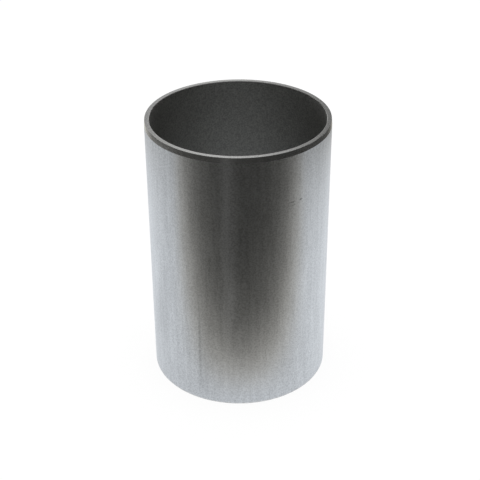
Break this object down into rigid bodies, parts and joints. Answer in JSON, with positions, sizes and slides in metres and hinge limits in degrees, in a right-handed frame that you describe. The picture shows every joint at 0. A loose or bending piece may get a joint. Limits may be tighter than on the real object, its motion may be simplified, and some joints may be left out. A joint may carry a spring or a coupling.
{
  "type": "cylinder liner",
  "caption": "Thin-walled straight cast iron sleeve, open at both ends, ground outside and honed inside, with a shallow outside lead-in taper at one end; lines an engine cylinder.",
  "frame": {"origin": "centre of the plain end, on the face that the liner stands on", "axes": "+Z along the bore axis, from the plain end to the tapered end; X and Y are free, because the liner is round"},
  "size_m": [0.09, 0.09, 0.139],
  "materials": {
    "machined_cast_iron": "ground silver-grey outside, turned lead-in taper and end faces, honed bore"
  },
  "bodies": {
    "root": {"cylinder_liner": "machined_cast_iron"}
  },
  "joints": []
}
